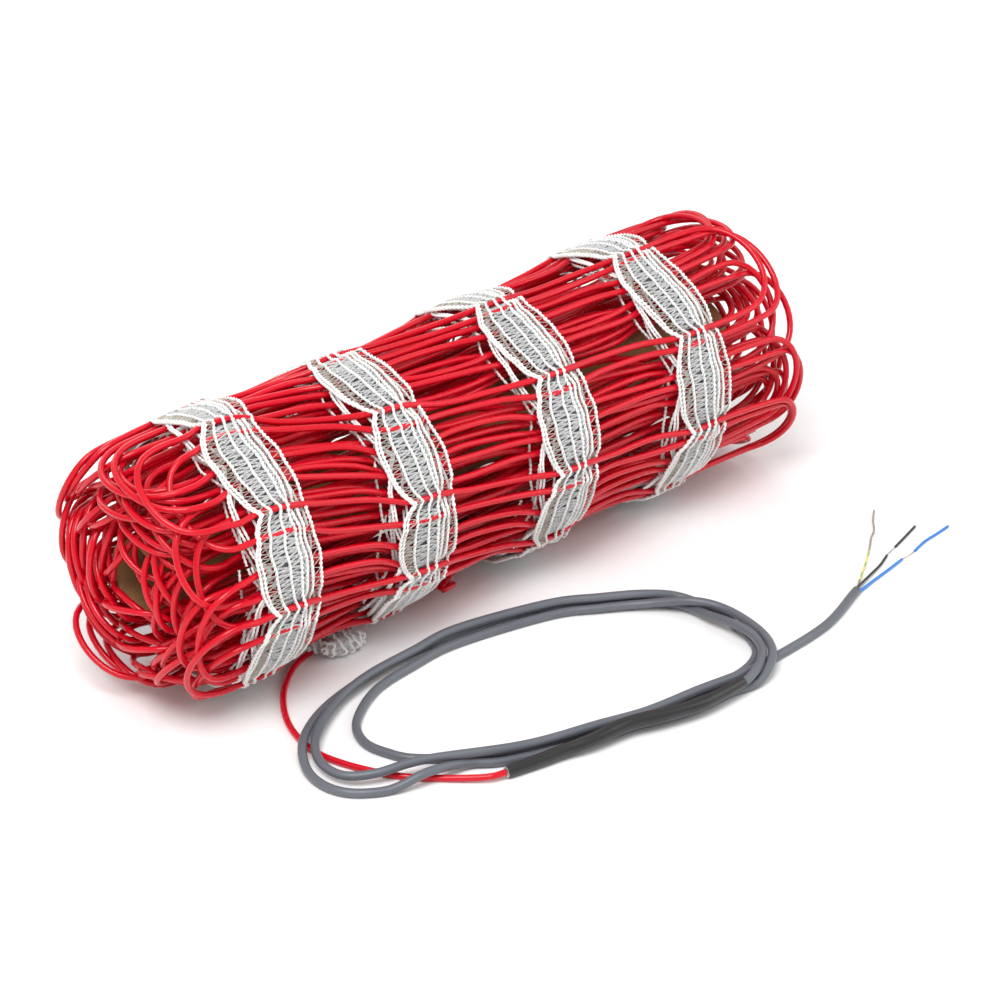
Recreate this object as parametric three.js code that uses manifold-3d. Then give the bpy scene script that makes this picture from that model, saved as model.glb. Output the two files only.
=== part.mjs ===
// Underfloor heating mat, rolled up on a cardboard tube, with its cold lead laid in loops in front.
// Millimetres, +Z up. The roll's axis runs along X, and the origin is under the middle of the roll.
import * as THREE from 'three';
import Module from 'manifold-3d';
import { mergeVertices } from 'three/addons/utils/BufferGeometryUtils.js';

// Clearance between touching pieces
const clearance = 0.3;

// Cardboard tube
const coreBore = 45;
const coreWall = 2.5;
const coreLength = 520;

// Roll of heating cable
const matWidth = 524;
const rollRadius = 94;
const turnCount = 8;
const turnRelief = 4;
const endFlat = 14;
const shoulderDrop = 0.8;
const waistDepth = 5.5;
const rollSegments = 36;

// Knitted bands, left to right
const bandWidth = 40;
const bandThickness = 2.2;
const bandSpacing = 125.3;
const firstBandInset = 59;
const bandSinks = [2.5, 4, 1.5, 0.5];

// Cables and wires
const heatingCableDiameter = 4.4;
const sleeveDiameter = 9;
const leadDiameter = 6;
const liveDiameter = 1.7;
const neutralDiameter = 1.85;
const conductorDiameter = 0.7;
const earthSleevingDiameter = 1.2;
const earthStrandDiameter = 1.4;
const cordSides = 8;
const sleeveSides = 10;

// Route of the heating cable's tail, from under the roll to the splice sleeve
const tailRoute = [
  [-55.3, -20.6, 3.6], [-72, -20.7, 3.6], [-90, -21.4, 3.6], [-108, -23.5, 3], [-122, -25.6, 2.7],
  [-136, -27.8, 2.4], [-151, -30.8, 2.2], [-166, -37.5, 2.2], [-186, -53, 2.2], [-202, -72, 2.2],
  [-213, -92, 2.2], [-219, -114, 2.2], [-219, -132, 2.2], [-212, -156, 2.2], [-200, -180, 2.2],
  [-184, -199, 2.4], [-169, -215, 3.4], [-160.5, -222.6, 4.4], [-152.2, -225.3, 4.7],
];

// Route of the splice sleeve, over the loops of the cold lead
const sleeveRoute = [
  [-151.6, -225.4, 4.7], [-130.8, -229.6, 4.9], [-110.5, -233.9, 6], [-91, -240, 8.6],
  [-62, -244, 10], [-37.5, -253, 10.2], [-8.6, -259.9, 10.2], [26.7, -260.2, 10.4],
];

// Route of the cold lead, three loops and then out to the stripped end
const leadRoute = [
  [27.1, -260.2, 10.4], [32, -260, 10.6], [43, -256.5, 11.2], [58, -248, 11], [70, -236, 9.5],
  [76, -222, 10], [77, -206, 10], [77, -183, 7], [77, -157, 3.5], [63, -136, 3], [41, -115, 3],
  [9, -97, 3], [-24, -84, 3], [-97, -76, 3], [-140, -79, 3], [-185, -90, 3.5], [-222, -114, 8],
  [-238, -135, 4], [-242, -157, 3], [-235, -175, 3], [-216, -189, 3.5], [-191, -198, 10],
  [-162, -201, 4.5], [-141, -214, 3], [-87, -234, 3], [-51, -242, 3], [-16, -254, 3.5],
  [21, -256, 3], [41, -260, 4.2], [59, -255, 9.5], [75, -240, 10], [85, -217, 9.5],
  [87, -187, 10], [76, -166, 11.5], [58, -140, 5.5], [34, -121.5, 4], [4, -104, 3], [-65, -88, 3],
  [-106, -89, 3], [-144, -95, 3], [-177, -114, 3], [-190, -134, 3], [-189, -154, 3],
  [-176, -177, 3], [-126, -213, 3], [-72, -229, 3], [-38, -239, 3], [1, -245, 3], [35, -244, 3],
  [57, -240, 3], [73, -229, 3], [83, -208, 3], [89, -177, 3], [82, -151, 6], [63, -137, 10],
  [37, -118, 9.6], [7, -99, 8.8], [-59, -81, 8.8], [-99, -82, 8.8], [-142, -85, 9], [-175, -93, 7],
  [-212, -115, 8], [-229, -137, 7], [-230, -159, 6.5], [-215, -174, 8], [-185, -187, 11],
  [-128, -217, 10.5], [-76, -231, 9.5], [-42, -241, 9.5], [0, -246, 9.5], [33, -250, 8.5],
  [66, -246, 3.5], [128, -241, 3], [179, -224, 3],
];

// Routes of the three stripped wires, each cut where its insulation ends
const earthBaseRoute = [[178.9, -222.1, 2.1], [186, -219.2, 2], [192.4, -215.1, 2]];
const earthSleevingRoute = [[193, -214.7, 2], [202, -209, 2], [212, -203, 1.8], [228.3, -192.1, 1.3]];
const earthStrandsRoute = [
  [228.8, -191.7, 1.2], [235, -187.2, 1], [243.5, -180.8, 1.3], [253.5, -174.7, 1], [264, -164.6, 1.2],
  [275.6, -155.5, 1],
];
const liveRoute = [
  [179.4, -223.6, 3.9], [190, -219.4, 2.6], [202.7, -215.4, 1.9], [218.8, -210.5, 1.3], [233, -204.4, 1.1],
];
const liveConductorRoute = [[233.5, -204.1, 1.1], [239.6, -202.3, 1], [245.8, -200.7, 1]];
const liveTipRoute = [[246.3, -200.5, 1], [262.2, -195.8, 1], [278.7, -190.7, 1]];
const neutralRoute = [
  [180, -225.4, 2.1], [186, -224.4, 1.9], [198.6, -221.8, 1.5], [219.2, -218.3, 1.2], [236.2, -215.3, 1.1],
];
const neutralConductorRoute = [[236.7, -215.2, 1.1], [244.9, -214.8, 1], [251.4, -213.7, 1]];
const neutralTipRoute = [[251.9, -213.5, 1], [267.3, -209.6, 1], [280.6, -208.4, 1], [295.5, -206.7, 1]];

// Lobes of the bunched band end that is gathered round the tail: middle and half size
const bandEndLobes = [
  { middle: [-127, -41, 7.8], half: [15, 9, 7.4] },
  { middle: [-133, -28, 5.6], half: [12, 8, 5.3] },
  { middle: [-117, -43, 7.4], half: [9, 7, 6.4] },
];

// Materials
const plastic = (color, roughness = 0.4) => new THREE.MeshStandardMaterial({ color, roughness, metalness: 0 });
const redJacket = plastic(0xc41224, 0.32);
const greyJacket = plastic(0x6d7078, 0.42);
const blackShrink = plastic(0x1d1d1f, 0.35);
const blackInsulation = plastic(0x1b1b1d, 0.4);
const blueInsulation = plastic(0x1a8fe0, 0.38);
const greenYellowSleeving = plastic(0xc9cc4a, 0.5);
const whiteKnit = plastic(0xd8d5cf, 0.9);
const cardboard = plastic(0xa9713c, 0.9);
const tinnedCopper = new THREE.MeshStandardMaterial({ color: 0xb3a898, roughness: 0.35, metalness: 0.9 });

const part = new THREE.Group();
const axisHeight = rollRadius * Math.cos(Math.PI / rollSegments);

function addPiece(name, geometry, material) {
  const piece = new THREE.Mesh(geometry, material);
  piece.name = name;
  part.add(piece);
  return piece;
}

// A turned solid on the roll's axis: its profile is a list of [place along the axis, radius]
function turned(profile) {
  const points = profile.map(([along, radius]) => new THREE.Vector2(radius, along));
  points.push(points[0].clone());
  const geometry = new THREE.LatheGeometry(points, rollSegments, Math.PI / rollSegments);
  geometry.rotateZ(-Math.PI / 2);
  return geometry;
}

function addTurned(name, profile, material) {
  addPiece(name, turned(profile), material).position.z = axisHeight;
}

function ringProfile(from, to, innerRadius, outerRadius) {
  return [[from, innerRadius], [from, outerRadius], [to, outerRadius], [to, innerRadius]];
}

// A smooth curve whose even steps follow its points, so close points give fine steps in a tight bend
class RouteCurve extends THREE.CatmullRomCurve3 {
  constructor(route) {
    super(route.map((point) => new THREE.Vector3(...point)), false, 'catmullrom');
  }

  getPointAt(u, target) {
    return this.getPoint(u, target);
  }

  getTangentAt(u, target) {
    return this.getTangent(u, target);
  }
}

function tube(route, diameter, sides = cordSides, stepsPerPoint = 1) {
  const section = new THREE.Shape();
  for (let i = 0; i < sides; i += 1) {
    const angle = (2 * Math.PI * i) / sides;
    const x = (Math.cos(angle) * diameter) / 2;
    const y = (Math.sin(angle) * diameter) / 2;
    if (i === 0) section.moveTo(x, y);
    else section.lineTo(x, y);
  }
  return new THREE.ExtrudeGeometry(section, {
    steps: (route.length - 1) * stepsPerPoint,
    extrudePath: new RouteCurve(route),
  });
}

// Joining and cutting of closed meshes
const wasm = await Module();
wasm.setup();

function toSolid(geometry) {
  const bare = geometry.clone();
  bare.deleteAttribute('normal');
  bare.deleteAttribute('uv');
  const merged = mergeVertices(bare);
  return new wasm.Manifold(new wasm.Mesh({
    numProp: 3,
    vertProperties: new Float32Array(merged.attributes.position.array),
    triVerts: new Uint32Array(merged.index.array),
  }));
}

function toGeometry(solid) {
  const mesh = solid.getMesh();
  const geometry = new THREE.BufferGeometry();
  geometry.setAttribute('position', new THREE.BufferAttribute(new Float32Array(mesh.vertProperties), 3));
  geometry.setIndex(new THREE.BufferAttribute(new Uint32Array(mesh.triVerts), 1));
  geometry.computeVertexNormals();
  return geometry;
}

// Cardboard tube
const coreRadius = coreBore / 2 + coreWall;
addTurned(
  'core_tube',
  ringProfile(-coreLength / 2, coreLength / 2, coreBore / 2, coreRadius),
  cardboard,
);

// Roll of heating cable: one turned solid, with its turns showing on both ends
const rollBore = coreRadius + clearance;
const turnPitch = (rollRadius - rollBore) / turnCount;
const crestPlace = matWidth / 2;
const valleyPlace = crestPlace - turnRelief;
const bandRadii = bandSinks.map((sink) => rollRadius - sink);
const bandCentres = bandSinks.map((sink, i) => firstBandInset - matWidth / 2 + i * bandSpacing);

function turnEnds(side) {
  const points = [];
  for (let i = 0; i < turnCount; i += 1) {
    const inner = rollBore + i * turnPitch;
    points.push([side * valleyPlace, inner]);
    points.push([side * crestPlace, inner + 0.25 * turnPitch]);
    points.push([side * crestPlace, inner + 0.75 * turnPitch]);
  }
  points.push([side * valleyPlace, rollRadius]);
  return points;
}

function waistProfile(i) {
  const from = bandCentres[i] + bandWidth / 2;
  const to = bandCentres[i + 1] - bandWidth / 2;
  return [0.25, 0.5, 0.75].map((share) => [
    THREE.MathUtils.lerp(from, to, share),
    THREE.MathUtils.lerp(bandRadii[i], bandRadii[i + 1], share) - shoulderDrop
      - waistDepth * Math.sin(Math.PI * share),
  ]);
}

const rollProfile = [...turnEnds(-1), [-valleyPlace + endFlat, rollRadius]];
bandCentres.forEach((centre, i) => {
  const reach = bandWidth / 2 + clearance;
  const shoulder = bandRadii[i] - shoulderDrop;
  const seat = bandRadii[i] - bandThickness - clearance;
  rollProfile.push([centre - reach, shoulder]);
  rollProfile.push([centre - reach, seat]);
  rollProfile.push([centre + reach, seat]);
  rollProfile.push([centre + reach, shoulder]);
  if (i < bandCentres.length - 1) rollProfile.push(...waistProfile(i));
});
rollProfile.push([valleyPlace - endFlat, rollRadius], ...turnEnds(1).reverse());
addTurned('heating_cable_roll', rollProfile, redJacket);

// Knitted bands: the outer turn of each, seated in the roll
bandCentres.forEach((centre, i) => {
  const profile = ringProfile(
    centre - bandWidth / 2,
    centre + bandWidth / 2,
    bandRadii[i] - bandThickness,
    bandRadii[i],
  );
  addTurned(`mesh_band_${i + 1}`, profile, whiteKnit);
});

// Tail of the heating cable, and the band end gathered round it
addPiece('heating_cable_tail', tube(tailRoute, heatingCableDiameter), redJacket);

let bandEnd = null;
for (const { middle, half } of bandEndLobes) {
  const lobe = toSolid(new THREE.SphereGeometry(1, 10, 6).scale(...half).translate(...middle));
  bandEnd = bandEnd ? bandEnd.add(lobe) : lobe;
}
bandEnd = bandEnd.subtract(toSolid(tube(tailRoute, heatingCableDiameter + 2 * clearance)));
addPiece('band_end', toGeometry(bandEnd), whiteKnit);

// Splice sleeve and cold lead
addPiece('splice_sleeve', tube(sleeveRoute, sleeveDiameter, sleeveSides, 2), blackShrink);
addPiece('cold_lead', tube(leadRoute, leadDiameter), greyJacket);

// Earth: bare strands with a short piece of sleeving slipped over them
addPiece('earth_base_strands', tube(earthBaseRoute, earthStrandDiameter), tinnedCopper);
addPiece('earth_sleeving', tube(earthSleevingRoute, earthSleevingDiameter), greenYellowSleeving);
addPiece('earth_strands', tube(earthStrandsRoute, earthStrandDiameter), tinnedCopper);

// Live: insulation, a bared stretch, and the cut piece of insulation left on the tip
addPiece('live_insulation', tube(liveRoute, liveDiameter), blackInsulation);
addPiece('live_conductor', tube(liveConductorRoute, conductorDiameter), tinnedCopper);
addPiece('live_tip', tube(liveTipRoute, liveDiameter), blackInsulation);

// Neutral: the same three pieces
addPiece('neutral_insulation', tube(neutralRoute, neutralDiameter), blueInsulation);
addPiece('neutral_conductor', tube(neutralConductorRoute, conductorDiameter), tinnedCopper);
addPiece('neutral_tip', tube(neutralTipRoute, neutralDiameter), blueInsulation);

export default part;
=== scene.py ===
"""An underfloor heating mat, rolled on a cardboard tube, with its cold lead laid in loops on the floor.

Metres, +Z up. The roll's axis runs along X. A place on the roll is given by x, its wound angle (0 at the
top, growing towards the back, so the front is at minus 90 degrees) and its radius from the roll's axis.
"""

import math

import bpy
import numpy as np
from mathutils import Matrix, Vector


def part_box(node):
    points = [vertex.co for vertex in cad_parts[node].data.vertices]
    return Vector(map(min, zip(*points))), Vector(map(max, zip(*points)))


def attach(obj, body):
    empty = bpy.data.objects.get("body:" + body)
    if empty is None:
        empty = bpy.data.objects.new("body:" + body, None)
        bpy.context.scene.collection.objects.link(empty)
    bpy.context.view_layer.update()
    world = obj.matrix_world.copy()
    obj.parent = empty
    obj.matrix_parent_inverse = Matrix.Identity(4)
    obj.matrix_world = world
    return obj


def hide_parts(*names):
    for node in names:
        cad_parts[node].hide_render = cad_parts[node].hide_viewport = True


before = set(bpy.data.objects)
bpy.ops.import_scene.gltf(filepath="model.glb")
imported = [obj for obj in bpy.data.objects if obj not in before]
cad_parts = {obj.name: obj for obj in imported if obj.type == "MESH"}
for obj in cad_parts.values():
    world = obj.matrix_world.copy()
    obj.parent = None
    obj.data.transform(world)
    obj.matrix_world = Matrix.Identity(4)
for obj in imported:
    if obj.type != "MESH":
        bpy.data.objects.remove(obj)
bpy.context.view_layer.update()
dice = np.random.default_rng(7)

# The roll, from the frame
MM = 0.001
core_low, core_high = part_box("core_tube")
AXIS_HEIGHT = (core_low.z + core_high.z) / 2
BAND_BOXES = [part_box(f"mesh_band_{i}") for i in (1, 2, 3, 4)]
BAND_RADII = [(high.z - low.z) / 2 for low, high in BAND_BOXES]
CORE_BORE = 22.5 * MM

# Cables
CABLE = 4.4 * MM
LEAD = 6 * MM

# Winding: the cable lies double, as runs A and B. Outer runs of A cross the four bands at these angles,
# measured from the top towards the front. Further in, a run crosses each band this much later than the last
# band, in degrees on the outer turn. B lies this far below A along each band.
OUTER_CROSSINGS = [
    [142, 148, 178, 187],
    [94.6, 109, 131, 141],
    [51.6, 73.4, 89, 98],
    [2, 31, 46, 54],
    [-42, -18, -2, 4],
    [-88, -64, -50, -42],
]
INNER_LAGS = [46, 22.5, 8.5, 0]
TWIN_BELOW = np.array([15.5, 14, 12, 7.5]) * MM
RUN_SPACING = 72 * MM
LAYER_PITCH = 4.3 * MM
CABLE_BELOW_BAND = 2.6 * MM
INNERMOST = 29.5 * MM
SWAY_LIMIT = 9 * MM
LOOP_TIPS = {(-1, "A"): -268 * MM, (-1, "B"): -260 * MM, (1, "A"): 262 * MM, (1, "B"): 271 * MM}
LOOP_LIFTS = {(-1, "A"): -2 * MM, (-1, "B"): -6 * MM, (1, "A"): 4 * MM, (1, "B"): 2 * MM}

# Hairpin under the roll from the tail into run A: x, angle from the top towards the front, and radius
TAIL_HAIRPIN = [
    (-54.8, 167.1, 92.3), (-42, 166.8, 91.8), (-30, 164.5, 91.2), (-22, 158, 91), (-28, 151, 90),
    (-42, 148.2, 88.5),
]

# Middle of the outer turn of each band along the roll, at angles from the top towards the front
BAND_DRIFT_ANGLES = [-60, -10, 20, 65, 105, 150]
BAND_DRIFT = [
    [-183, -185, -199, -203, -207, -207],
    [-75, -77, -83, -86, -89, -89],
    [56, 55, 46, 44, 40, 40],
    [178, 178, 169, 171, 167, 167],
]

# Cords, the same points as the solids', in millimetres
TAIL_ROUTE = [
    [-55.3, -20.6, 3.6], [-72, -20.7, 3.6], [-90, -21.4, 3.6], [-108, -23.5, 3], [-122, -25.6, 2.7],
    [-136, -27.8, 2.4], [-151, -30.8, 2.2], [-166, -37.5, 2.2], [-186, -53, 2.2], [-202, -72, 2.2],
    [-213, -92, 2.2], [-219, -114, 2.2], [-219, -132, 2.2], [-212, -156, 2.2], [-200, -180, 2.2],
    [-184, -199, 2.4], [-169, -215, 3.4], [-160.5, -222.6, 4.4], [-152.2, -225.3, 4.7],
]
SLEEVE_ROUTE = [
    [-151.6, -225.4, 4.7], [-130.8, -229.6, 4.9], [-110.5, -233.9, 6], [-91, -240, 8.6],
    [-62, -244, 10], [-37.5, -253, 10.2], [-8.6, -259.9, 10.2], [26.7, -260.2, 10.4],
]
LEAD_ROUTE = [
    [27.1, -260.2, 10.4], [32, -260, 10.6], [43, -256.5, 11.2], [58, -248, 11], [70, -236, 9.5],
    [76, -222, 10], [77, -206, 10], [77, -183, 7], [77, -157, 3.5], [63, -136, 3], [41, -115, 3],
    [9, -97, 3], [-24, -84, 3], [-97, -76, 3], [-140, -79, 3], [-185, -90, 3.5], [-222, -114, 8],
    [-238, -135, 4], [-242, -157, 3], [-235, -175, 3], [-216, -189, 3.5], [-191, -198, 10],
    [-162, -201, 4.5], [-141, -214, 3], [-87, -234, 3], [-51, -242, 3], [-16, -254, 3.5],
    [21, -256, 3], [41, -260, 4.2], [59, -255, 9.5], [75, -240, 10], [85, -217, 9.5],
    [87, -187, 10], [76, -166, 11.5], [58, -140, 5.5], [34, -121.5, 4], [4, -104, 3], [-65, -88, 3],
    [-106, -89, 3], [-144, -95, 3], [-177, -114, 3], [-190, -134, 3], [-189, -154, 3],
    [-176, -177, 3], [-126, -213, 3], [-72, -229, 3], [-38, -239, 3], [1, -245, 3], [35, -244, 3],
    [57, -240, 3], [73, -229, 3], [83, -208, 3], [89, -177, 3], [82, -151, 6], [63, -137, 10],
    [37, -118, 9.6], [7, -99, 8.8], [-59, -81, 8.8], [-99, -82, 8.8], [-142, -85, 9], [-175, -93, 7],
    [-212, -115, 8], [-229, -137, 7], [-230, -159, 6.5], [-215, -174, 8], [-185, -187, 11],
    [-128, -217, 10.5], [-76, -231, 9.5], [-42, -241, 9.5], [0, -246, 9.5], [33, -250, 8.5],
    [66, -246, 3.5], [128, -241, 3], [179, -224, 3],
]
EARTH_BASE_ROUTE = [[178.9, -222.1, 2.1], [186, -219.2, 2], [192.4, -215.1, 2]]
EARTH_SLEEVING_ROUTE = [[193, -214.7, 2], [202, -209, 2], [212, -203, 1.8], [228.3, -192.1, 1.3]]
EARTH_STRANDS_ROUTE = [
    [228.8, -191.7, 1.2], [235, -187.2, 1], [243.5, -180.8, 1.3], [253.5, -174.7, 1], [264, -164.6, 1.2],
    [275.6, -155.5, 1],
]
LIVE_ROUTE = [
    [179.4, -223.6, 3.9], [190, -219.4, 2.6], [202.7, -215.4, 1.9], [218.8, -210.5, 1.3],
    [233, -204.4, 1.1],
]
LIVE_CONDUCTOR_ROUTE = [[233.5, -204.1, 1.1], [239.6, -202.3, 1], [245.8, -200.7, 1]]
LIVE_TIP_ROUTE = [[246.3, -200.5, 1], [262.2, -195.8, 1], [278.7, -190.7, 1]]
NEUTRAL_ROUTE = [
    [180, -225.4, 2.1], [186, -224.4, 1.9], [198.6, -221.8, 1.5], [219.2, -218.3, 1.2],
    [236.2, -215.3, 1.1],
]
NEUTRAL_CONDUCTOR_ROUTE = [[236.7, -215.2, 1.1], [244.9, -214.8, 1], [251.4, -213.7, 1]]
NEUTRAL_TIP_ROUTE = [[251.9, -213.5, 1], [267.3, -209.6, 1], [280.6, -208.4, 1], [295.5, -206.7, 1]]


# Camera, at the photograph's viewing angle
def make_camera():
    azimuth, elevation, distance = math.radians(-43.68), math.radians(28.6), 2.50011
    target = Vector((0.05813, -0.00004, 0.02986))
    data = bpy.data.cameras.new("camera")
    data.sensor_width = 36
    data.lens = 129.6
    camera = bpy.data.objects.new("camera", data)
    bpy.context.scene.collection.objects.link(camera)
    back = Vector((
        math.sin(azimuth) * math.cos(elevation),
        -math.cos(azimuth) * math.cos(elevation),
        math.sin(elevation),
    ))
    camera.location = target + back * distance
    camera.rotation_mode = "QUATERNION"
    camera.rotation_quaternion = (-back).to_track_quat("-Z", "Y")
    bpy.context.scene.camera = camera


# Materials
class Paint:
    """A Principled material with nodes for the colour, roughness and bump of its surface."""

    def __init__(self, name, roughness, metallic=0.0, coat=0.0, sheen=0.0, subsurface=0.0):
        self.material = bpy.data.materials.new(name)
        self.material.use_nodes = True
        self.tree = self.material.node_tree
        self.shader = self.tree.nodes["Principled BSDF"]
        self.shader.inputs["Roughness"].default_value = roughness
        self.shader.inputs["Metallic"].default_value = metallic
        self.shader.inputs["Coat Weight"].default_value = coat
        self.shader.inputs["Coat Roughness"].default_value = 0.12
        self.shader.inputs["Sheen Weight"].default_value = sheen
        self.shader.inputs["Subsurface Weight"].default_value = subsurface
        self.shader.inputs["Subsurface Scale"].default_value = 0.001
        self.place = self.node("ShaderNodeTexCoord").outputs["Object"]

    def node(self, kind, **values):
        made = self.tree.nodes.new(kind)
        for key, value in values.items():
            setattr(made, key, value)
        return made

    def link(self, start, end):
        self.tree.links.new(start, end)

    def noise(self, scale, detail=3.0, roughness=0.5, stretch=(1, 1, 1)):
        mapping = self.node("ShaderNodeMapping")
        mapping.inputs["Scale"].default_value = stretch
        self.link(self.place, mapping.inputs["Vector"])
        noise = self.node("ShaderNodeTexNoise")
        noise.inputs["Scale"].default_value = scale
        noise.inputs["Detail"].default_value = detail
        noise.inputs["Roughness"].default_value = roughness
        self.link(mapping.outputs["Vector"], noise.inputs["Vector"])
        return noise.outputs["Fac"]

    def ramp(self, factor, stops):
        ramp = self.node("ShaderNodeValToRGB").color_ramp
        node = self.tree.nodes[-1]
        while len(ramp.elements) < len(stops):
            ramp.elements.new(0.5)
        for element, (place, colour) in zip(ramp.elements, stops):
            element.position = place
            element.color = (*colour, 1)
        self.link(factor, node.inputs["Fac"])
        return node.outputs["Color"]

    def mix(self, factor, a, b, blend="MIX"):
        mix = self.node("ShaderNodeMix", data_type="RGBA", blend_type=blend)
        for socket, value in zip((mix.inputs[0], mix.inputs[6], mix.inputs[7]), (factor, a, b)):
            if isinstance(value, bpy.types.NodeSocket):
                self.link(value, socket)
            else:
                socket.default_value = value if isinstance(value, float) else (*value, 1)
        return mix.outputs[2]

    def colour(self, socket):
        self.link(socket, self.shader.inputs["Base Color"])

    def rough(self, factor, low, high):
        spread = self.node("ShaderNodeMapRange")
        spread.inputs["To Min"].default_value = low
        spread.inputs["To Max"].default_value = high
        self.link(factor, spread.inputs["Value"])
        self.link(spread.outputs["Result"], self.shader.inputs["Roughness"])

    def bump(self, height, strength, distance):
        bump = self.node("ShaderNodeBump")
        bump.inputs["Strength"].default_value = strength
        bump.inputs["Distance"].default_value = distance
        self.link(height, bump.inputs["Height"])
        self.link(bump.outputs["Normal"], self.shader.inputs["Normal"])


def jacket(name, dark, light, roughness, coat, grain=900, grain_strength=0.06, gloss=0.5):
    """Extruded polymer: faint cloudy colour, uneven gloss and a fine grain."""
    paint = Paint(name, roughness, coat=coat)
    paint.shader.inputs["Specular IOR Level"].default_value = gloss
    paint.colour(paint.ramp(paint.noise(22, 4), [(0.3, dark), (0.7, light)]))
    paint.rough(paint.noise(60, 3), roughness * 0.85, roughness * 1.2)
    paint.bump(paint.noise(grain, 2), grain_strength, 0.0002)
    return paint.material


def yarn(name, shade, light, fibre=2600):
    """Spun yarn: fibres, lint and a soft sheen."""
    paint = Paint(name, 0.92, sheen=0.35, subsurface=0.15)
    lint = paint.noise(900, 4, 0.65)
    paint.colour(paint.ramp(lint, [(0.32, shade), (0.62, light)]))
    paint.bump(paint.noise(fibre, 4, 0.7), 0.7, 0.0004)
    return paint.material


def board(name):
    """Spiral-wound kraft board, with paper fibres; the seam of its plies is drawn in the tube's shape."""
    paint = Paint(name, 0.88)
    grain = paint.noise(700, 5, 0.7, (0.35, 1, 1))
    fibres = paint.ramp(grain, [(0.3, (0.25, 0.125, 0.05)), (0.7, (0.46, 0.27, 0.12))])
    clouds = paint.noise(30, 3)
    paint.colour(paint.mix(clouds, fibres, (0.33, 0.17, 0.07)))
    paint.bump(paint.noise(1500, 4, 0.6), 0.4, 0.0003)
    return paint.material


def metal(name, dark, light):
    """Tinned copper strand, drawn and slightly dull."""
    paint = Paint(name, 0.32, metallic=0.95)
    paint.colour(paint.ramp(paint.noise(500, 3), [(0.3, dark), (0.7, light)]))
    paint.rough(paint.noise(900, 2), 0.25, 0.45)
    paint.bump(paint.noise(3000, 2), 0.15, 0.0001)
    return paint.material


def striped_sleeving(name):
    """Yellow sleeving with a green stripe that winds slowly round it."""
    paint = Paint(name, 0.45, coat=0.1)
    wave = paint.node("ShaderNodeTexWave", wave_type="BANDS", bands_direction="DIAGONAL")
    wave.inputs["Scale"].default_value = 30
    wave.inputs["Distortion"].default_value = 0.6
    paint.link(paint.place, wave.inputs["Vector"])
    paint.colour(paint.ramp(wave.outputs["Fac"], [(0.55, (0.78, 0.72, 0.12)), (0.72, (0.35, 0.5, 0.1))]))
    paint.bump(paint.noise(1500, 2), 0.1, 0.0002)
    return paint.material


RED = jacket("red_jacket", (0.56, 0.001, 0.011), (0.64, 0.0015, 0.016), 0.26, 0.34, gloss=0.22)
GREY = jacket("grey_jacket", (0.105, 0.115, 0.135), (0.13, 0.14, 0.16), 0.42, 0.08, 700, 0.1)
SHRINK = jacket("black_shrink", (0.010, 0.010, 0.011), (0.018, 0.018, 0.019), 0.33, 0.1, 260, 0.25)
BLACK = jacket("black_insulation", (0.012, 0.012, 0.014), (0.02, 0.02, 0.022), 0.35, 0.1)
BLUE = jacket("blue_insulation", (0.01, 0.17, 0.62), (0.015, 0.23, 0.75), 0.33, 0.15)
CREAM = jacket("cream_adhesive", (0.55, 0.52, 0.42), (0.75, 0.72, 0.62), 0.5, 0.0)
SLEEVING = striped_sleeving("green_yellow_sleeving")
WHITE_YARN = yarn("white_yarn", (0.76, 0.75, 0.73), (0.95, 0.945, 0.935))
THREAD = yarn("beige_thread", (0.40, 0.37, 0.32), (0.66, 0.63, 0.57), 3200)
# Web between the inner wales: grey yarn, darkened near black as painted shade seen through the holes of the
# knit
FILL_PAINTED_SHADE = yarn("grey_fill_painted_shade", (0.035, 0.034, 0.036), (0.16, 0.16, 0.165), 1100)
WEFT = yarn("fluffy_weft", (0.26, 0.26, 0.262), (0.64, 0.64, 0.635), 1400)
BOARD = board("cardboard")
METAL = metal("tinned_copper", (0.42, 0.36, 0.3), (0.66, 0.6, 0.53))


# Meshes from arrays
def unit(v):
    return v / np.maximum(np.linalg.norm(v, axis=-1, keepdims=True), 1e-12)


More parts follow.
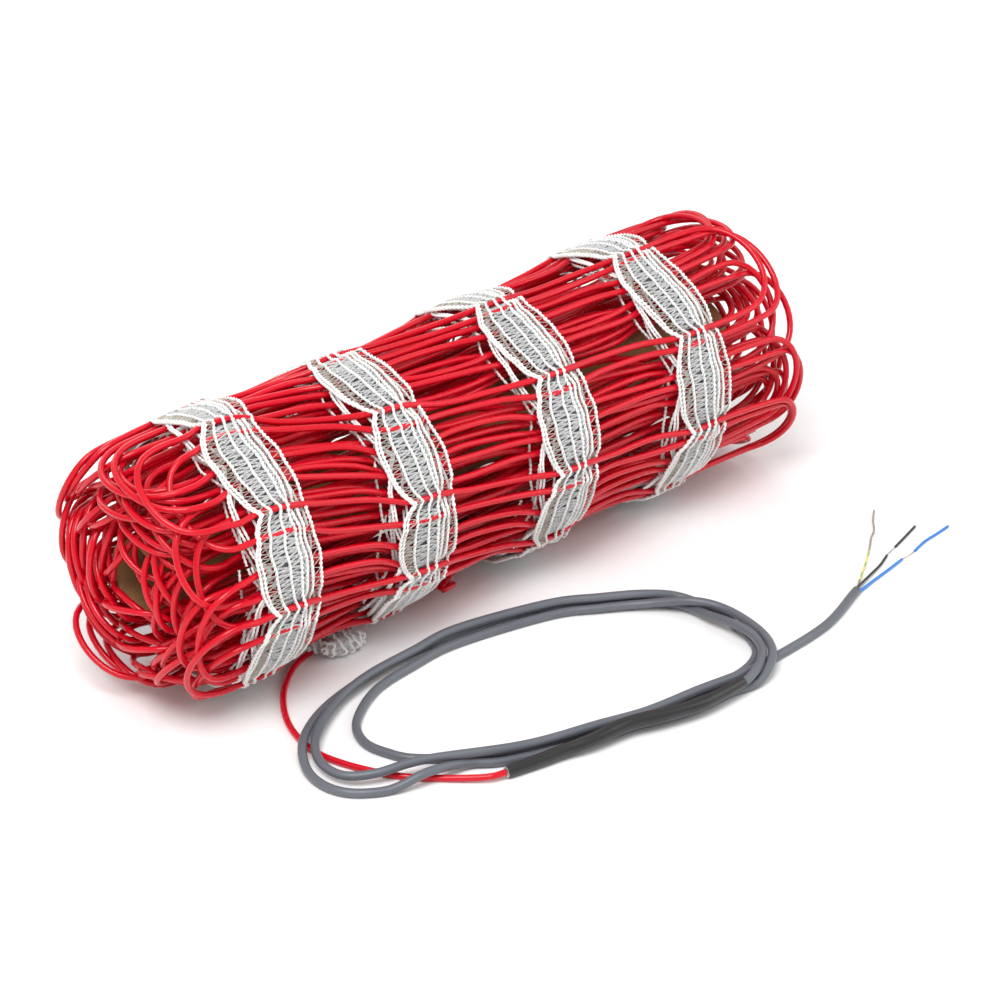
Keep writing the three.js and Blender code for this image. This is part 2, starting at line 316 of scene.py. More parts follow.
class Skin:
    """Vertices and faces gathered from many tubes and grids, made into one mesh at the end."""

    def __init__(self):
        self.verts, self.faces, self.count = [], [], 0

    def add(self, verts, *faces):
        self.verts.append(np.asarray(verts, float).reshape(-1, 3))
        self.faces += [np.asarray(f, int) + self.count for f in faces]
        self.count += len(self.verts[-1])

    def tubes(self, lines, normals, radius, sides, capped=True):
        """Round tubes along m lines of n points each. Radius is one number or one for each point."""
        lines = np.asarray(lines, float)
        if lines.ndim == 2:
            lines, normals = lines[None], np.asarray(normals)[None]
        m, n = lines.shape[:2]
        along = unit(np.gradient(lines, axis=1))
        up = unit(normals - along * (normals * along).sum(-1, keepdims=True))
        side = np.cross(along, up)
        angle = 2 * np.pi * np.arange(sides) / sides
        ring = np.cos(angle)[:, None] * up[:, :, None] + np.sin(angle)[:, None] * side[:, :, None]
        size = np.broadcast_to(np.asarray(radius, float), (m, n))[:, :, None, None]
        index = np.arange(m * n * sides).reshape(m, n, sides)
        a, b = index[:, :-1], index[:, 1:]
        walls = np.stack([a, np.roll(a, -1, 2), np.roll(b, -1, 2), b], -1).reshape(-1, 4)
        ends = [index[:, 0, ::-1], index[:, -1]] if capped else []
        self.add(lines[:, :, None] + ring * size, walls, *ends)

    def grid(self, points):
        """A sheet through rows of points."""
        rows, columns = points.shape[:2]
        index = np.arange(rows * columns).reshape(rows, columns)
        a, b, c, d = index[:-1, :-1], index[:-1, 1:], index[1:, 1:], index[1:, :-1]
        self.add(points, np.stack([a, b, c, d], -1).reshape(-1, 4))

    def piece(self, name, materials, slot, *replaced, face_materials=None):
        mesh = bpy.data.meshes.new(name)
        verts = np.concatenate(self.verts)
        corners = np.concatenate([f.ravel() for f in self.faces])
        totals = np.concatenate([np.full(len(f), f.shape[1]) for f in self.faces])
        mesh.vertices.add(len(verts))
        mesh.vertices.foreach_set("co", verts.astype(np.float32).ravel())
        mesh.loops.add(len(corners))
        mesh.loops.foreach_set("vertex_index", corners.astype(np.int32))
        mesh.polygons.add(len(totals))
        starts = np.concatenate([[0], np.cumsum(totals)[:-1]])
        mesh.polygons.foreach_set("loop_start", starts.astype(np.int32))
        mesh.update(calc_edges=True)
        mesh.polygons.foreach_set("use_smooth", np.ones(len(totals), bool))
        for material in materials if isinstance(materials, list) else [materials]:
            mesh.materials.append(material)
        if face_materials is not None:
            mesh.polygons.foreach_set("material_index", np.asarray(face_materials, np.int32))
        made = bpy.data.objects.new(name, mesh)
        bpy.context.scene.collection.objects.link(made)
        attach(made, "root")
        if replaced:
            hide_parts(*replaced)
        return made

    def mark(self):
        return sum(len(f) for f in self.faces)


# Lines
def catmull(points, steps):
    """A smooth curve through the points, with so many steps from each to the next."""
    p = np.asarray(points, float)
    p = np.vstack([2 * p[0] - p[1], p, 2 * p[-1] - p[-2]])
    t = np.linspace(0, 1, steps, endpoint=False)[:, None]
    parts = [
        0.5 * (2 * b + (c - a) * t + (2 * a - 5 * b + 4 * c - d) * t**2 + (3 * b - a - 3 * c + d) * t**3)
        for a, b, c, d in zip(p, p[1:], p[2:], p[3:])
    ]
    return np.vstack([*parts, p[-2:-1]])


def spaced(line, step):
    """The same line with points at even distances."""
    run = np.concatenate([[0], np.cumsum(np.linalg.norm(np.diff(line, axis=0), axis=1))])
    places = np.linspace(0, run[-1], max(2, round(run[-1] / step) + 1))
    return np.stack([np.interp(places, run, line[:, i]) for i in range(3)], 1)


def carried(line, first=(0, 0, 1)):
    """A normal at each point that doesn't twist round the line."""
    along = unit(np.gradient(line, axis=0))
    normal, normals = np.array(first, float), []
    for t in along:
        normal = normal - t * (normal @ t)
        normal = normal / np.linalg.norm(normal)
        normals.append(normal)
    return np.array(normals)


def on_roll(x, angle, radius):
    """Places on the roll from x, the wound angle in radians and the radius."""
    x, angle, radius = np.broadcast_arrays(x, angle, radius)
    return np.stack([x, radius * np.sin(angle), AXIS_HEIGHT + radius * np.cos(angle)], -1)


def smooth_step(value):
    value = np.clip(value, 0, 1)
    return value * value * (3 - 2 * value)


def outward(angle):
    angle = np.asarray(angle, float)
    return np.stack([np.zeros_like(angle), np.sin(angle), np.cos(angle)], -1)


def wobble(places, wavelength, seed):
    """Smooth noise from -1 to 1 along a line, the same on each run."""
    own = np.random.default_rng(seed)
    total = np.zeros_like(np.asarray(places, float))
    for _ in range(3):
        phase = own.uniform(0, 2 * np.pi)
        total = total + np.sin(places * 2 * np.pi / (wavelength * own.uniform(0.45, 1.6)) + phase) / 3
    return total


# Winding of the heating cable
def crossings():
    """Wound angle and radius of each run of A where it crosses the four bands, from the outside in."""
    angles, radii = [], []
    first = -math.radians(OUTER_CROSSINGS[0][3])
    outer = np.array(BAND_RADII) - CABLE_BELOW_BAND
    while True:
        k = len(angles)
        if k < len(OUTER_CROSSINGS):
            angle = -np.radians(OUTER_CROSSINGS[k])
        else:
            radius = radii[-1].mean()
            lag = np.radians(INNER_LAGS) * (radius / outer.mean()) ** 0.7
            step = RUN_SPACING / radius * (1 + 0.08 * math.sin(2.4 * k))
            uneven = np.radians(1.6) * np.sin(np.array([1.3, 2.9, 4.1, 5.7]) * k)
            angle = angles[-1][3] + step + lag + uneven
        sunk = LAYER_PITCH * (angle[3] - first) / (2 * np.pi)
        radius = outer - sunk * (outer - INNERMOST) / (outer.max() - INNERMOST)
        if radius.mean() < INNERMOST:
            return np.array(angles), np.array(radii)
        angles.append(angle)
        radii.append(radius)


def band_middle(j, angle, turn):
    """Middle of band j along the roll. Inner turns lie further to the left than the outer one."""
    toward_front = np.degrees(-(np.asarray(angle, float)))
    around = (toward_front + 120) % 360 - 120
    back = BAND_DRIFT[j][0]
    outer = np.interp(around, [-170, *BAND_DRIFT_ANGLES, 240], [back, *BAND_DRIFT[j], back])
    inner = np.clip(turn - 0.75, 0, 1) * (2.5 + 2.5 * wobble(turn, 2.3, 40 + j))
    return (outer - inner) * MM


RUN_ANGLES, RUN_RADII = crossings()
TWIN_ANGLES = RUN_ANGLES - TWIN_BELOW / RUN_RADII
RUNS = len(RUN_ANGLES)
FIRST_ANGLE = RUN_ANGLES[0][3]


def spread_sways():
    """How far each run sways round the roll between two bands, so that the runs fill the gaps evenly."""
    sways = np.zeros((2 * RUNS, 3))
    for j in range(3):
        angle = np.concatenate([a[:, j:j + 2].mean(1) for a in (RUN_ANGLES, TWIN_ANGLES)])
        radius = np.tile(RUN_RADII[:, j:j + 2].mean(1), 2)
        depth = radius.max() - radius
        for low, high in ((-1 * MM, 24 * MM), (24 * MM, 45 * MM)):
            chosen = np.nonzero((depth > low) & (depth <= high))[0]
            chosen = chosen[np.argsort(angle[chosen] % (2 * np.pi))]
            start = angle[chosen] % (2 * np.pi)
            limit = SWAY_LIMIT / radius[chosen] * np.clip(depth[chosen] / LAYER_PITCH, 0.25, 1)
            place = start.copy()
            for _ in range(60):
                before = np.concatenate([[place[-1] - 2 * np.pi], place[:-1]])
                after = np.concatenate([place[1:], [place[0] + 2 * np.pi]])
                place = np.clip(place + 0.5 * ((before + after) / 2 - place), start - limit, start + limit)
            sways[chosen, j] = place - start + dice.normal(0, 0.8 * MM, len(chosen)) / radius[chosen]
    return sways[:RUNS], sways[RUNS:]


A_SWAYS, B_SWAYS = spread_sways()


def turn_of(angle):
    return (np.asarray(angle) - FIRST_ANGLE) / (2 * np.pi)


def run_points(twin, k):
    """Points of run k of one twin from left to right: x, angle, radius, and how free each is to move."""
    angles, radii = (RUN_ANGLES if twin == "A" else TWIN_ANGLES)[k], RUN_RADII[k]
    depth = np.clip((radii - 28 * MM) / (62 * MM), 0.02, 1) ** 0.7
    risen = 8.2 * (1 - np.exp(-(np.array(BAND_RADII) - CABLE_BELOW_BAND - radii) / (10 * MM)))
    middles = [float(band_middle(j, angles[j], turn_of(angles[j]))) for j in range(4)]
    ends = 27 * MM
    rows = [[middles[0] - ends, angles[0] + dice.normal(0, 0.012), radii[0] - 0.5 * MM, 0.6]]
    for j in range(4):
        slopes = np.diff(angles)[max(j - 1, 0):j + 1] / np.diff(middles)[max(j - 1, 0):j + 1]
        for side in (-12 * MM, 12 * MM):
            rows.append([middles[j] + side, angles[j] + 0.5 * slopes.mean() * side, radii[j], 0.0])
        if j == 3:
            break
        for share in (0.34, 0.66):
            dip = ((5.2 - risen[j]) * depth[j] + dice.uniform(-1.2, 1.6) * depth[j] ** 0.5) * MM
            sway = (A_SWAYS if twin == "A" else B_SWAYS)[k][j] + dice.normal(0, 0.8 * MM) / radii[j]
            rows.append([
                middles[j] + (middles[j + 1] - middles[j]) * share,
                angles[j] + (angles[j + 1] - angles[j]) * share + sway,
                radii[j] + (radii[j + 1] - radii[j]) * share - dip,
                1.0,
            ])
    rows.append([middles[3] + ends, angles[3] + dice.normal(0, 0.015), radii[3] - 0.5 * MM, 0.6])
    return np.array(rows)


def loop_points(twin, start, end, side):
    """The hairpin from one run's end to the next's, past the outer band on that side. It is laid as a flat
    loop would lie, so it leaves the round of the roll and cuts across towards the chord of its two legs."""
    radius = (start[2] + end[2]) / 2
    inside = np.clip((80 * MM - radius) / (50 * MM), 0, 1)
    x0 = (start[0] + end[0]) / 2
    tip = LOOP_TIPS[side, twin] + side * (7 * MM * inside + dice.normal(0, 3.5 * MM))
    total = abs(tip - x0)
    width = min(abs(end[1] - start[1]) * radius, 78 * MM)
    straight = max(0.0, total - width * 0.52)
    t = np.linspace(0, 1, 15)[1:-1]
    turned = np.sin(np.pi * t)
    share = (1 - np.cos(np.pi * t) * (1 + 0.22 * turned**2)) / 2
    reach = np.minimum(1, turned * 2.2) * straight + (total - straight) * turned**0.9
    lift = LOOP_LIFTS[side, twin] + dice.normal(0, 3.5 * MM)
    x = x0 + side * reach
    angle = start[1] + (end[1] - start[1]) * share + dice.normal(0, 5 * MM) / radius * turned
    r = start[2] + (end[2] - start[2]) * share
    clear = (1 - inside) * 0.1 * total + inside * max(0.0, 254 * MM - abs(x0))
    flat = smooth_step((reach - clear) / (total - clear)) * (1 if side < 0 else 0.3 + 0.5 * inside)
    ends = on_roll(0, np.array([start[1], end[1]]), np.array([start[2], end[2]]))
    chord = ends[0] + (ends[1] - ends[0]) * share[:, None]
    line = on_roll(0, angle, r) * (1 - flat)[:, None] + chord * flat[:, None]
    line = line + outward((start[1] + end[1]) / 2) * (lift * (1 - 0.6 * inside) * turned**1.4)[:, None]
    line[:, 0] = x
    return np.column_stack([line, np.ones_like(t)])


def placed(rows):
    """Rows of x, angle, radius and freedom as places in space and freedom."""
    rows = np.asarray(rows, float)
    return np.column_stack([on_roll(rows[:, 0], rows[:, 1], rows[:, 2]), rows[:, 3]])


def twin_points(twin):
    """All runs of one twin with their loops, from the outside in."""
    parts, last = [], None
    for k in range(RUNS):
        run = run_points(twin, k)
        run = run[::-1] if k % 2 == 0 else run
        if last is not None:
            parts.append(loop_points(twin, last, run[0], 1 if k % 2 == 0 else -1))
        parts.append(placed(run))
        last = run[-1]
    return parts


def rough_winding():
    """The whole cable as laid, from the tail in along A and out again along B, before its turns settle."""
    first, second = twin_points("A"), twin_points("B")
    turn_back = placed([[x * MM, -math.radians(angle), r * MM, 1.0] for x, angle, r in TAIL_HAIRPIN])
    first[0] = np.vstack([turn_back, first[0][7:]])
    return np.vstack([*first, *[part[::-1] for part in second[::-1]]])


def close_pairs(points, reach, skip):
    """Pairs of points nearer than reach that aren't neighbours along the cable."""
    first, second = [], []
    squares = (points**2).sum(1)
    for start in range(0, len(points), 400):
        part = points[start:start + 400]
        gaps = squares[start:start + 400, None] + squares[None] - 2 * part @ points.T
        i, j = np.nonzero(gaps < reach**2)
        keep = j > i + start + skip
        first.append(i[keep] + start)
        second.append(j[keep])
    return np.concatenate(first), np.concatenate(second)


def settle(points, free, rounds, passes):
    """Pushes the turns apart where they overlap, while each stretch keeps its bends."""
    laid = points.copy()
    origin = np.array([0, 0, AXIS_HEIGHT])
    mouth = core_high.x + CABLE * 0.55
    for stage in range(rounds):
        reach = CABLE * (1.5 if stage < rounds / 2 else 1.01)
        strength = 0.5 if stage < rounds / 2 else 1.3
        i, j = close_pairs(points, CABLE * 2.1, 4)
        for _ in range(passes):
            apart = points[j] - points[i]
            distance = np.maximum(np.linalg.norm(apart, axis=1), 1e-6)
            push = (np.maximum(reach - distance, 0) / distance * 0.5)[:, None] * apart
            move = np.zeros_like(points)
            weight = np.zeros(len(points))
            np.add.at(move, i, -push)
            np.add.at(move, j, push)
            hit = (push**2).sum(1) > 0
            np.add.at(weight, i[hit], 1)
            np.add.at(weight, j[hit], 1)
            points = points + move / np.maximum(weight, 1)[:, None] * strength * free[:, None]
            shift = points - laid
            smooth = shift.copy()
            smooth[1:-1] = (shift[:-2] + 2 * shift[1:-1] + shift[2:]) / 4
            points = laid + smooth
            spoke = points - origin
            radius = np.maximum(np.hypot(spoke[:, 1], spoke[:, 2]), 1e-6)
            over_mouth = np.abs(points[:, 0]) > mouth - 3 * MM
            wanted = np.clip(radius, np.where(over_mouth, 0, 27.6 * MM), 104 * MM)
            points[:, 1] = spoke[:, 1] * wanted / radius
            points[:, 2] = AXIS_HEIGHT + spoke[:, 2] * wanted / radius
            points[:, 2] = np.maximum(points[:, 2], CABLE / 2 + 0.1 * MM)
            blocked = over_mouth & (radius < 27.6 * MM)
            points[blocked, 0] = np.sign(points[blocked, 0]) * np.maximum(np.abs(points[blocked, 0]), mouth)
    return points


def winding_line():
    rough = rough_winding()
    line = catmull(rough[:, :3], 8)
    free = np.interp(np.arange(len(line)) / 8, np.arange(len(rough)), rough[:, 3])
    run = np.concatenate([[0], np.cumsum(np.linalg.norm(np.diff(line, axis=0), axis=1))])
    even = spaced(line, 5.5 * MM)
    free = np.interp(np.linspace(0, run[-1], len(even)), run, free)
    return settle(even, free, 8, 8)


def make_winding():
    """The wound cable, its outer turns finer than the deep ones inside them."""
    line = winding_line()
    normals = carried(line)
    first, last = round(0.27 * len(line)), round(0.73 * len(line))
    outer, inner = Skin(), Skin()
    for part in (slice(0, first + 1), slice(last, len(line))):
        outer.tubes(line[part], normals[part], CABLE / 2, 10)
    inner.tubes(line[first:last + 1], normals[first:last + 1], CABLE / 2, 6)
    outer.piece("outer_cable_turns", RED, "red_jacket", "heating_cable_roll")
    inner.piece("inner_cable_turns", RED, "red_jacket", "heating_cable_roll")


# Knitted bands: places of the wales across a band, how far they rise over run A or B of the cable or dip
# below it, in millimetres, and how high the middle of a cord lies where a band meets the floor
WALES = np.array([-24.5, -22.1, -12.8, -1.2, 7.8, 12, 16.5, 25]) * MM
LEFT_WALES = 5
PINCH_PLACE = 11.5 * MM
HUMP_REACH = 4.6 * MM
OVER_A, OVER_B, BELOW = 3.0, 2.2, 2.6
OFF_FLOOR = 1.4 * MM
BEAD = 3.1 * MM
CORD_RADIUS = 0.72 * MM
CORD_TWIST = 0.6 * MM


class Band:
    """Where the wales of band j run. The band is gathered at each crossing and barrel-shaped between."""

    def __init__(self, j):
        self.j = j
        self.angles, self.twins, self.radii = RUN_ANGLES[:, j], TWIN_ANGLES[:, j], RUN_RADII[:, j]

    def near(self, crossings, angle, radius):
        """Distance along the band to the nearest crossing, and as a share of half the panel."""
        k = np.clip(np.searchsorted(crossings, angle), 1, RUNS - 1)
        distance = np.minimum(np.abs(angle - crossings[k - 1]), np.abs(angle - crossings[k]))
        return distance * radius, np.clip(2 * distance / (crossings[k] - crossings[k - 1]), 0, 1)

    def place(self, wale, angle, lift=0.0, under=False):
        """Places of a wale, or of a line between two of them, at the wound angles. What lies under runs
        beneath the cable where the wales go over it."""
        wale = np.asarray(wale, float)
        radius = np.interp(angle, self.angles, self.radii)
        near_a, share_a = self.near(self.angles, angle, radius)
        near_b, share_b = self.near(self.twins, angle, radius)
        left = np.clip(LEFT_WALES - wale, 0, 1)
        offset = np.interp(wale, np.arange(len(WALES)), WALES)
        gathered_a = 0.32 * (1 - share_a) ** 2.4
        gathered_b = 0.35 * (1 - share_b) ** 3
        offset = PINCH_PLACE + (offset - PINCH_PLACE) * (1 - left * gathered_a - (1 - left) * gathered_b)
        x = band_middle(self.j, angle, turn_of(angle)) + offset
        x = x + 0.7 * MM * wobble(angle * radius, 30 * MM, 90 + self.j)
        x = x + 0.35 * MM * np.sin(angle * radius / (9 * MM) + 1.7 * wale)
        hump_a = np.exp(-(near_a / HUMP_REACH) ** 2)
        hump_b = np.exp(-(near_b / HUMP_REACH) ** 2)
        puffed = np.clip(np.minimum(near_a, near_b) / (16 * MM), 0, 1) ** 0.7
        over_a, over_b = OVER_A * left - BELOW * (1 - left), OVER_B * left + OVER_A * (1 - left)
        if under:
            over_a, over_b = -BELOW, OVER_B * left - BELOW * (1 - left)
        height = (hump_a * over_a + hump_b * over_b) * MM
        height = height + (1 - np.maximum(hump_a, hump_b)) * (0.1 + 1.0 * puffed) * MM
        crown = -1.3 * MM * (np.abs(offset) / (24 * MM)) ** 3 * puffed
        place = on_roll(x, angle, radius + height + crown + lift)
        place[..., 2] = np.maximum(place[..., 2], OFF_FLOOR)
        return place


def band_beads(band, first, last):
    """Wound angles a bead apart, from one turn to another."""
    start, end = FIRST_ANGLE + first * 2 * np.pi, FIRST_ANGLE + last * 2 * np.pi
    angle, angles = start + (band.angles[0] - FIRST_ANGLE), []
    while angle < end + (band.angles[0] - FIRST_ANGLE):
        angles.append(angle)
        angle += BEAD / np.interp(angle, band.angles, band.radii)
    return np.array(angles)


def finer(angles, steps):
    places = np.linspace(0, len(angles) - 1, (len(angles) - 1) * steps + 1)
    return np.interp(places, np.arange(len(angles)), angles), places


def add_twisted_wale(skin, band, wale, beads):
    angle, count = finer(beads, 3)
    line = band.place(wale, angle)
    normal = outward(angle)
    across = np.array([1.0, 0, 0])
    swell = 1 + 0.16 * wobble(count, 3.7, 7 * wale + band.j) + 0.26 * np.cos(2 * np.pi * count)
    for phase in (0, np.pi):
        turn = np.pi * count + phase + wale
        shift = np.cos(turn)[:, None] * normal + np.sin(turn)[:, None] * across
        skin.tubes(line + shift * CORD_TWIST, normal, CORD_RADIUS * swell, 4)


def add_plain_wale(skin, band, wale, beads, steps, sides):
    angle, count = finer(beads, steps)
    line = band.place(wale, angle)
    beaded = 1.0 * MM * (1 + 0.28 * np.cos(2 * np.pi * count + wale)) if steps > 1 else 0.95 * MM
    skin.tubes(line, outward(angle), beaded, sides)


def add_zigzag(skin, band, wale, beads, radius, lift, sides, every=1, loose=0.3, under=False):
    """Thread from one wale to the next and back, once every so many beads."""
    start = beads[:-every:every]
    end = beads[every::every][:len(start)]
    start = start[:len(end)]
    own = np.random.default_rng(500 + 10 * band.j + wale)
    jitter = own.uniform(-loose, loose, len(start)) * (end - start)
    middle = (start + end) / 2 + jitter
    for a, b in ((start, middle), (middle, end)):
        near, far = (wale, wale + 1) if a is start else (wale + 1, wale)
        line = np.stack([
            band.place(near, a, lift, under),
            band.place((near + far) / 2, (a + b) / 2, lift + own.uniform(-0.6, 0.1, len(a)) * MM, under),
            band.place(far, b, lift, under),
        ], 1)
        normal = np.broadcast_to(outward((a + b) / 2)[:, None], line.shape)
        skin.tubes(line, normal, radius, sides, capped=False)


def add_fill(skin, band, first, last, beads, lift):
    """The fluffy web between the inner wales, coloured near black as painted shade in the holes of the
    knit.
    """
    angle, _ = finer(beads, 2)
    columns = np.linspace(first, last, (last - first) * 3 + 1)
    own = np.random.default_rng(900 + band.j)
    lumps = own.normal(0, 0.32 * MM, (len(angle), len(columns)))
    rows = [band.place(c, angle, lift + lumps[:, n], True) for n, c in enumerate(columns)]
    skin.grid(np.stack(rows, 1))


def make_band(j):
    band = Band(j)
    outer = band_beads(band, -0.03, 1.08)
    skin = Skin()
    marks = []
    for wale in range(len(WALES)):
        add_twisted_wale(skin, band, wale, outer)
    second = band_beads(band, 1.08, 2.2)
    for wale in (0, 1, 2, 3, 6, 7):
        add_plain_wale(skin, band, wale, second, 2, 4)
    deeper = band_beads(band, 2.2, 4.2)
    for wale in (0, 7):
        add_plain_wale(skin, band, wale, deeper, 2, 3)
    marks.append(skin.mark())
    for wale in (0, 1, 5, 6):
        last = wale == len(WALES) - 2
        add_zigzag(skin, band, wale, outer, 0.3 * MM, 0.1 * MM, 3, 2 if last else 1)
    add_zigzag(skin, band, 1, outer, 0.26 * MM, -0.4 * MM, 3, 1, 0.45)
    marks.append(skin.mark())
    # The web under the weft, its dark colour painted shade in the knit's holes
    add_fill(skin, band, 2, 5, outer, -1.5 * MM)
    marks.append(skin.mark())
    for wale in (2, 3, 4):
        add_zigzag(skin, band, wale, outer, 0.72 * MM, -0.3 * MM, 4, 1, 0.5, True)
        add_zigzag(skin, band, wale, outer, 0.5 * MM, -0.7 * MM, 3, 2, 0.6, True)
    marks.append(skin.mark())
    face_materials = np.repeat([0, 1, 2, 3], np.diff([0, *marks]))
    return skin.piece(
        f"knitted_band_{j + 1}", [WHITE_YARN, THREAD, FILL_PAINTED_SHADE, WEFT], "white_knit", f"mesh_band_{j + 1}",
        face_materials=face_materials,
    )


# Cardboard tube
def make_core():
    bore = CORE_BORE
    wall = (core_high.z - core_low.z) / 2 - bore
    half = core_high.x
    edge = 0.35 * MM
    outside = bore + wall
    profile = [(-half + edge, bore), (-half, bore + edge), (-half, outside - edge), (-half + edge, outside)]
    profile += [(x, outside) for x in np.linspace(-half + 20 * MM, half - 20 * MM, 24)]
    profile += [(half - edge, outside), (half, outside - edge), (half, bore + edge), (half - edge, bore)]
    profile += [(x, bore) for x in np.linspace(half - 20 * MM, -half + 20 * MM, 24)]
    profile.append(profile[0])
    angle = np.linspace(0, 2 * np.pi, 97)
    rows = []
    for x, radius in profile:
        seam = 0.12 * MM * np.exp(-((((angle / (2 * np.pi) - x / 0.16) % 1) - 0.5) / 0.012) ** 2)
        rows.append(on_roll(x, angle, radius - seam if radius > bore + wall / 2 else radius + seam))
    skin = Skin()
    skin.grid(np.stack(rows, 0))
    return skin.piece("cardboard_tube", BOARD, "cardboard", "core_tube")


# Cords
def route(points, steps=8, lowest=0.0):
    line = catmull(np.array(points) * MM, steps)
    line[:, 2] = np.maximum(line[:, 2], lowest)
    return line


def make_tube(name, line, radius, sides, material, slot, *replaced):
    skin = Skin()
    skin.tubes(line, carried(line), radius, sides)
    return skin.piece(name, material, slot, *replaced)


def make_sleeve():
    """Heat-shrink over the splice, lumpy over the joint inside it and drawn in towards both ends."""
    line = spaced(route(SLEEVE_ROUTE, 24), 1.6 * MM)
    s = np.linspace(0, 1, len(line))
    around = np.linspace(0, 2 * np.pi, 25)[:-1]
    radius = np.interp(s, [0, 0.03, 0.12, 0.3, 0.42, 0.5, 0.62, 0.72, 0.84, 0.97, 1], [
        3.5, 4.1, 4.3, 4.5, 4.9, 4.75, 4.95, 4.6, 4.3, 3.9, 3.7,
    ]) * MM
    radius = radius + 0.16 * MM * wobble(s, 0.13, 61)
    normals = carried(line)
    along = unit(np.gradient(line, axis=0))
    side = np.cross(along, normals)
    wrinkle = 0.22 * MM * np.sin(2 * around[None] + 5 * s[:, None]) * wobble(s, 0.22, 62)[:, None]
    ring = np.cos(around)[None, :, None] * normals[:, None] + np.sin(around)[None, :, None] * side[:, None]
    verts = line[:, None] + ring * (radius[:, None] + wrinkle)[:, :, None]
    index = np.arange(verts.shape[0] * verts.shape[1]).reshape(verts.shape[:2])
    a, b = index[:-1], index[1:]
    walls = np.stack([a, np.roll(a, -1, 1), np.roll(b, -1, 1), b], -1).reshape(-1, 4)
    skin = Skin()
    skin.add(verts, walls)
    for end, inner, into in ((0, 2.3 * MM, 1), (-1, 3.05 * MM, -1)):
        ring_in = np.cos(around)[:, None] * normals[end] + np.sin(around)[:, None] * side[end]
        rim = line[end] + ring_in * inner
        lip = np.stack([verts[end], rim, rim + into * along[end] * 3 * MM])
        lip = np.concatenate([lip, lip[:, :1]], 1)
        skin.grid(lip if end == 0 else lip[:, ::-1])
    faces = skin.mark()
    face_materials = np.zeros(faces, int)
    face_materials[len(walls):] = 1
    return skin.piece(
        "splice_sleeve_skin", [SHRINK, CREAM], "black_shrink", "splice_sleeve",
        face_materials=face_materials,
    )


def make_strands(name, line, count, strand, spread, waves, *replaced):
    """Fine strands that wind round each other along a line."""
    normals = carried(line)
    side = np.cross(unit(np.gradient(line, axis=0)), normals)
    s = np.linspace(0, 1, len(line))
    skin = Skin()
    for n in range(count):
        turn = 2 * np.pi * (n / max(count - 1, 1) + waves * s)
        out = spread if n else 0.0
        offset = out * (np.cos(turn)[:, None] * normals + np.sin(turn)[:, None] * side)
        strand_line = line + offset
        strand_line[:, 2] = np.maximum(strand_line[:, 2], strand)
        skin.tubes(strand_line, normals, strand, 6)
    return skin.piece(name, METAL, "tinned_copper", *replaced)


def make_wires():
    """The wires out of the stripped end of the cold lead, in the order of the solids."""
    earth, fine = (0.24 * MM, 0.47 * MM), (0.13 * MM, 0.22 * MM)
    sleeving, live, neutral = 0.6 * MM, 0.85 * MM, 0.92 * MM
    return [
        make_strands(
            "earth_strands_at_jacket", route(EARTH_BASE_ROUTE, 10), 7, *earth, 0.8, "earth_base_strands",
        ),
        make_tube(
            "earth_sleeving_skin", route(EARTH_SLEEVING_ROUTE, 8), sleeving, 12, SLEEVING,
            "green_yellow_sleeving", "earth_sleeving",
        ),
        make_strands(
            "earth_strands_free", route(EARTH_STRANDS_ROUTE, 12), 7, *earth, 3.2, "earth_strands",
        ),
        make_tube(
            "live_wire", route(LIVE_ROUTE, 8), live, 14, BLACK, "black_insulation", "live_insulation",
        ),
        make_strands(
            "live_conductor_strands", route(LIVE_CONDUCTOR_ROUTE, 8), 5, *fine, 1.2, "live_conductor",
        ),
        make_tube(
            "live_wire_tip", route(LIVE_TIP_ROUTE, 8), live, 14, BLACK, "black_insulation", "live_tip",
        ),
        make_tube(
            "neutral_wire", route(NEUTRAL_ROUTE, 8), neutral, 14, BLUE, "blue_insulation",
            "neutral_insulation",
        ),
        make_strands(
            "neutral_conductor_strands", route(NEUTRAL_CONDUCTOR_ROUTE, 8), 5, *fine, 1.2,
            "neutral_conductor",
        ),
        make_tube(
            "neutral_wire_tip", route(NEUTRAL_TIP_ROUTE, 8), neutral, 14, BLUE, "blue_insulation",
            "neutral_tip",
        ),
    ]


def make_cords():
    tail = route(TAIL_ROUTE, 8, CABLE / 2)
    tail_piece = make_tube("cable_tail", tail, CABLE / 2, 16, RED, "red_jacket", "heating_cable_tail")
    sleeve_piece = make_sleeve()
    lead = route(LEAD_ROUTE, 8, LEAD / 2)
    lead_piece = make_tube("cold_lead_jacket", lead, LEAD / 2, 16, GREY, "grey_jacket", "cold_lead")
    wires = make_wires()
    knot = make_band_end()
    sleeve_line = spaced(route(SLEEVE_ROUTE, 24), 1.6 * MM)


# Cut end of a knitted band, gathered round the tail
BAND_END_LOBES = [
    ((-127, -41, 7.8), (15, 9, 7.4)),
    ((-133, -28, 5.6), (12, 8, 5.3)),
    ((-117, -43, 7.4), (9, 7, 6.4)),
]


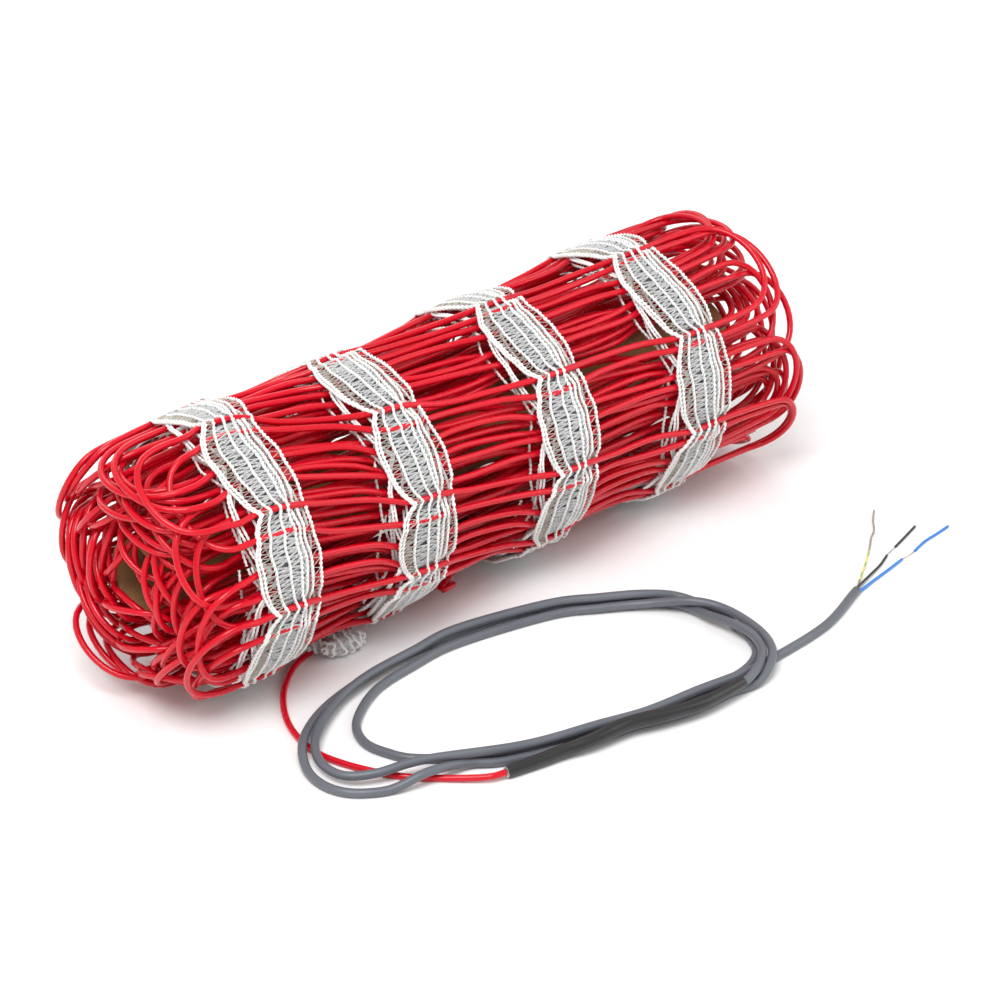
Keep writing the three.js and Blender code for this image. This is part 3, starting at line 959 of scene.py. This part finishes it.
def make_band_end():
    skin = Skin()
    own = np.random.default_rng(33)
    marks = []
    for n, (middle, half) in enumerate(BAND_END_LOBES):
        middle, half = np.array(middle) * MM, np.array(half) * MM
        for wale in range(6):
            latitude = (wale + 0.5) / 6 * np.pi
            turn = np.linspace(0, 2 * np.pi, 61)
            wave = 0.12 * np.sin(3 * turn + own.uniform(0, 6)) + 0.08 * np.sin(5 * turn + own.uniform(0, 6))
            ring = np.stack([
                np.cos(latitude) + wave * 0.6,
                np.sin(latitude) * np.cos(turn) * (1 + wave),
                np.sin(latitude) * np.sin(turn) * (1 + wave),
            ], -1)
            ring[:, 0] = np.cos(latitude) + wave * 0.5
            line = middle + ring * half * 0.92
            line[:, 2] = np.maximum(line[:, 2], OFF_FLOOR)
            normal = unit(ring / half)
            for phase in (0, np.pi):
                twist = np.pi * np.linspace(0, 22, 61) + phase
                side = np.cross(unit(np.gradient(line, axis=0)), normal)
                shift = np.cos(twist)[:, None] * normal + np.sin(twist)[:, None] * side
                skin.tubes(line + shift * CORD_TWIST, normal, CORD_RADIUS, 5)
    marks.append(skin.mark())
    for middle, half in BAND_END_LOBES:
        middle, half = np.array(middle) * MM, np.array(half) * MM
        u, v = np.meshgrid(np.linspace(0, 2 * np.pi, 49), np.linspace(0.02, np.pi - 0.02, 25))
        ball = np.stack([np.cos(v), np.sin(v) * np.cos(u), np.sin(v) * np.sin(u)], -1)
        lump = 1 + 0.10 * np.sin(4 * u + 3 * v) * np.sin(v) + 0.05 * np.sin(9 * u - 5 * v) * np.sin(v)
        surface = middle + ball * half * 0.86 * lump[:, :, None]
        surface[..., 2] = np.maximum(surface[..., 2], 0.3 * MM)
        skin.grid(surface)
    marks.append(skin.mark())
    return skin.piece(
        "gathered_band_end", [WHITE_YARN, WEFT], "white_knit", "band_end",
        face_materials=np.repeat([0, 1], np.diff([0, *marks])),
    )


# Studio
def make_studio():
    skin = Skin()
    side = 6.0
    ticks = np.linspace(-side, side, 9)
    x, y = np.meshgrid(ticks, ticks)
    skin.grid(np.stack([x, y, np.zeros_like(x)], -1))
    paint = Paint("studio_floor", 0.9)
    paint.colour(paint.ramp(paint.noise(3, 2), [(0.3, (0.9, 0.9, 0.9)), (0.7, (0.93, 0.93, 0.93))]))
    mesh = bpy.data.meshes.new("studio_floor")
    verts = [tuple(v) for v in np.concatenate(skin.verts)]
    mesh.from_pydata(verts, [], [tuple(f) for f in np.concatenate(skin.faces)])
    mesh.materials.append(paint.material)
    floor = bpy.data.objects.new("studio_floor", mesh)
    bpy.context.scene.collection.objects.link(floor)
    world = bpy.context.scene.world or bpy.data.worlds.new("studio")
    bpy.context.scene.world = world
    world.use_nodes = True
    sky = world.node_tree.nodes["Background"]
    sky.inputs["Color"].default_value = (1, 1, 1, 1)
    sky.inputs["Strength"].default_value = 0.66
    for name, place, power, size in (
        ("key", (-0.9, -0.6, 1.7), 29, 1.0),
        ("fill", (1.3, -1.2, 1.1), 9, 1.4),
        ("back", (0.4, 1.5, 1.2), 10, 1.4),
    ):
        data = bpy.data.lights.new(name, "AREA")
        data.energy = power
        data.size = size
        lamp = bpy.data.objects.new(name, data)
        lamp.location = place
        lamp.rotation_mode = "QUATERNION"
        lamp.rotation_quaternion = (Vector((0, 0, 0.08)) - Vector(place)).to_track_quat("-Z", "Y")
        bpy.context.scene.collection.objects.link(lamp)
    bpy.context.scene.view_settings.view_transform = "Standard"


make_camera()
make_cords()
make_winding()
for band_number in range(4):
    make_band(band_number)
make_core()
make_studio()
